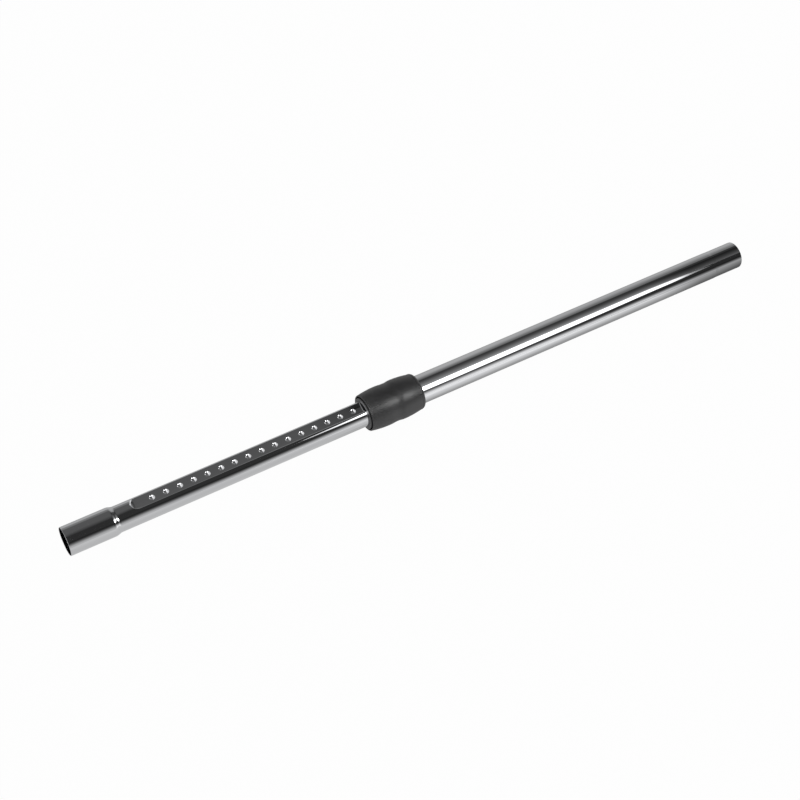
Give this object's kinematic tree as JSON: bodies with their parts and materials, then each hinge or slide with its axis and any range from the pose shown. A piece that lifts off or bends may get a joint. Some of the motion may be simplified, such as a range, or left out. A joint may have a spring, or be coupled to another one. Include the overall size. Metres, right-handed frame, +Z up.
{
  "type": "telescopic vacuum wand",
  "caption": "Chrome telescopic vacuum wand: inner tube with a swaged socket and a dimpled detent track, a dark sliding lock sleeve, and a plain outer tube.",
  "frame": {"origin": "on the wand's axis, at the mouth of the handle socket", "axes": "+X along the wand to the plain plug end, +Z up, wand fully extended and lying level, with its detent track facing up and leaning 10.25 degrees towards +Y"},
  "size_m": [0.929, 0.0496, 0.0496],
  "materials": {
    "chrome_tube": "bright chrome plate on drawn steel",
    "sleeve_plastic": "fine-textured charcoal moulding",
    "guide_plastic": "smooth dark acetal",
    "cam_plastic": "smooth natural acetal",
    "seal_rubber": "soft black rubber",
    "seal_felt": "pressed grey felt",
    "steel": "bright steel"
  },
  "bodies": {
    "outer": {"outer_tube": "chrome_tube", "guide_bush": "guide_plastic", "wiper_seal": "seal_rubber", "left_spring": "steel", "right_spring": "steel"},
    "inner": {"inner_tube": "chrome_tube", "inner_glide": "cam_plastic", "glide_seal": "seal_felt"},
    "sleeve": {"slide_sleeve": "sleeve_plastic", "cam_slider": "cam_plastic", "end_ring": "guide_plastic"},
    "pawl": {"lock_pawl": "cam_plastic", "pawl_pin": "steel"}
  },
  "joints": [
    {"name": "telescope", "type": "slide", "parent": "outer", "child": "inner", "axis": [1, 0, 0], "range_m": [0, 0.30798]},
    {"name": "sleeve_slide", "type": "slide", "parent": "outer", "child": "sleeve", "axis": [-1, 0, 0], "range_m": [0, 0.008], "stiffness_N_per_m": 800, "springref_m": -0.008, "deforming": ["left_spring", "right_spring"]},
    {"name": "pawl_rise", "type": "slide", "parent": "outer", "child": "pawl", "axis": [0, 0.1779, 0.984], "range_m": [0, 0.0016]}
  ],
  "couplings": [
    {"joint": "pawl_rise", "follows": "sleeve_slide", "ratio": 0.2}
  ]
}
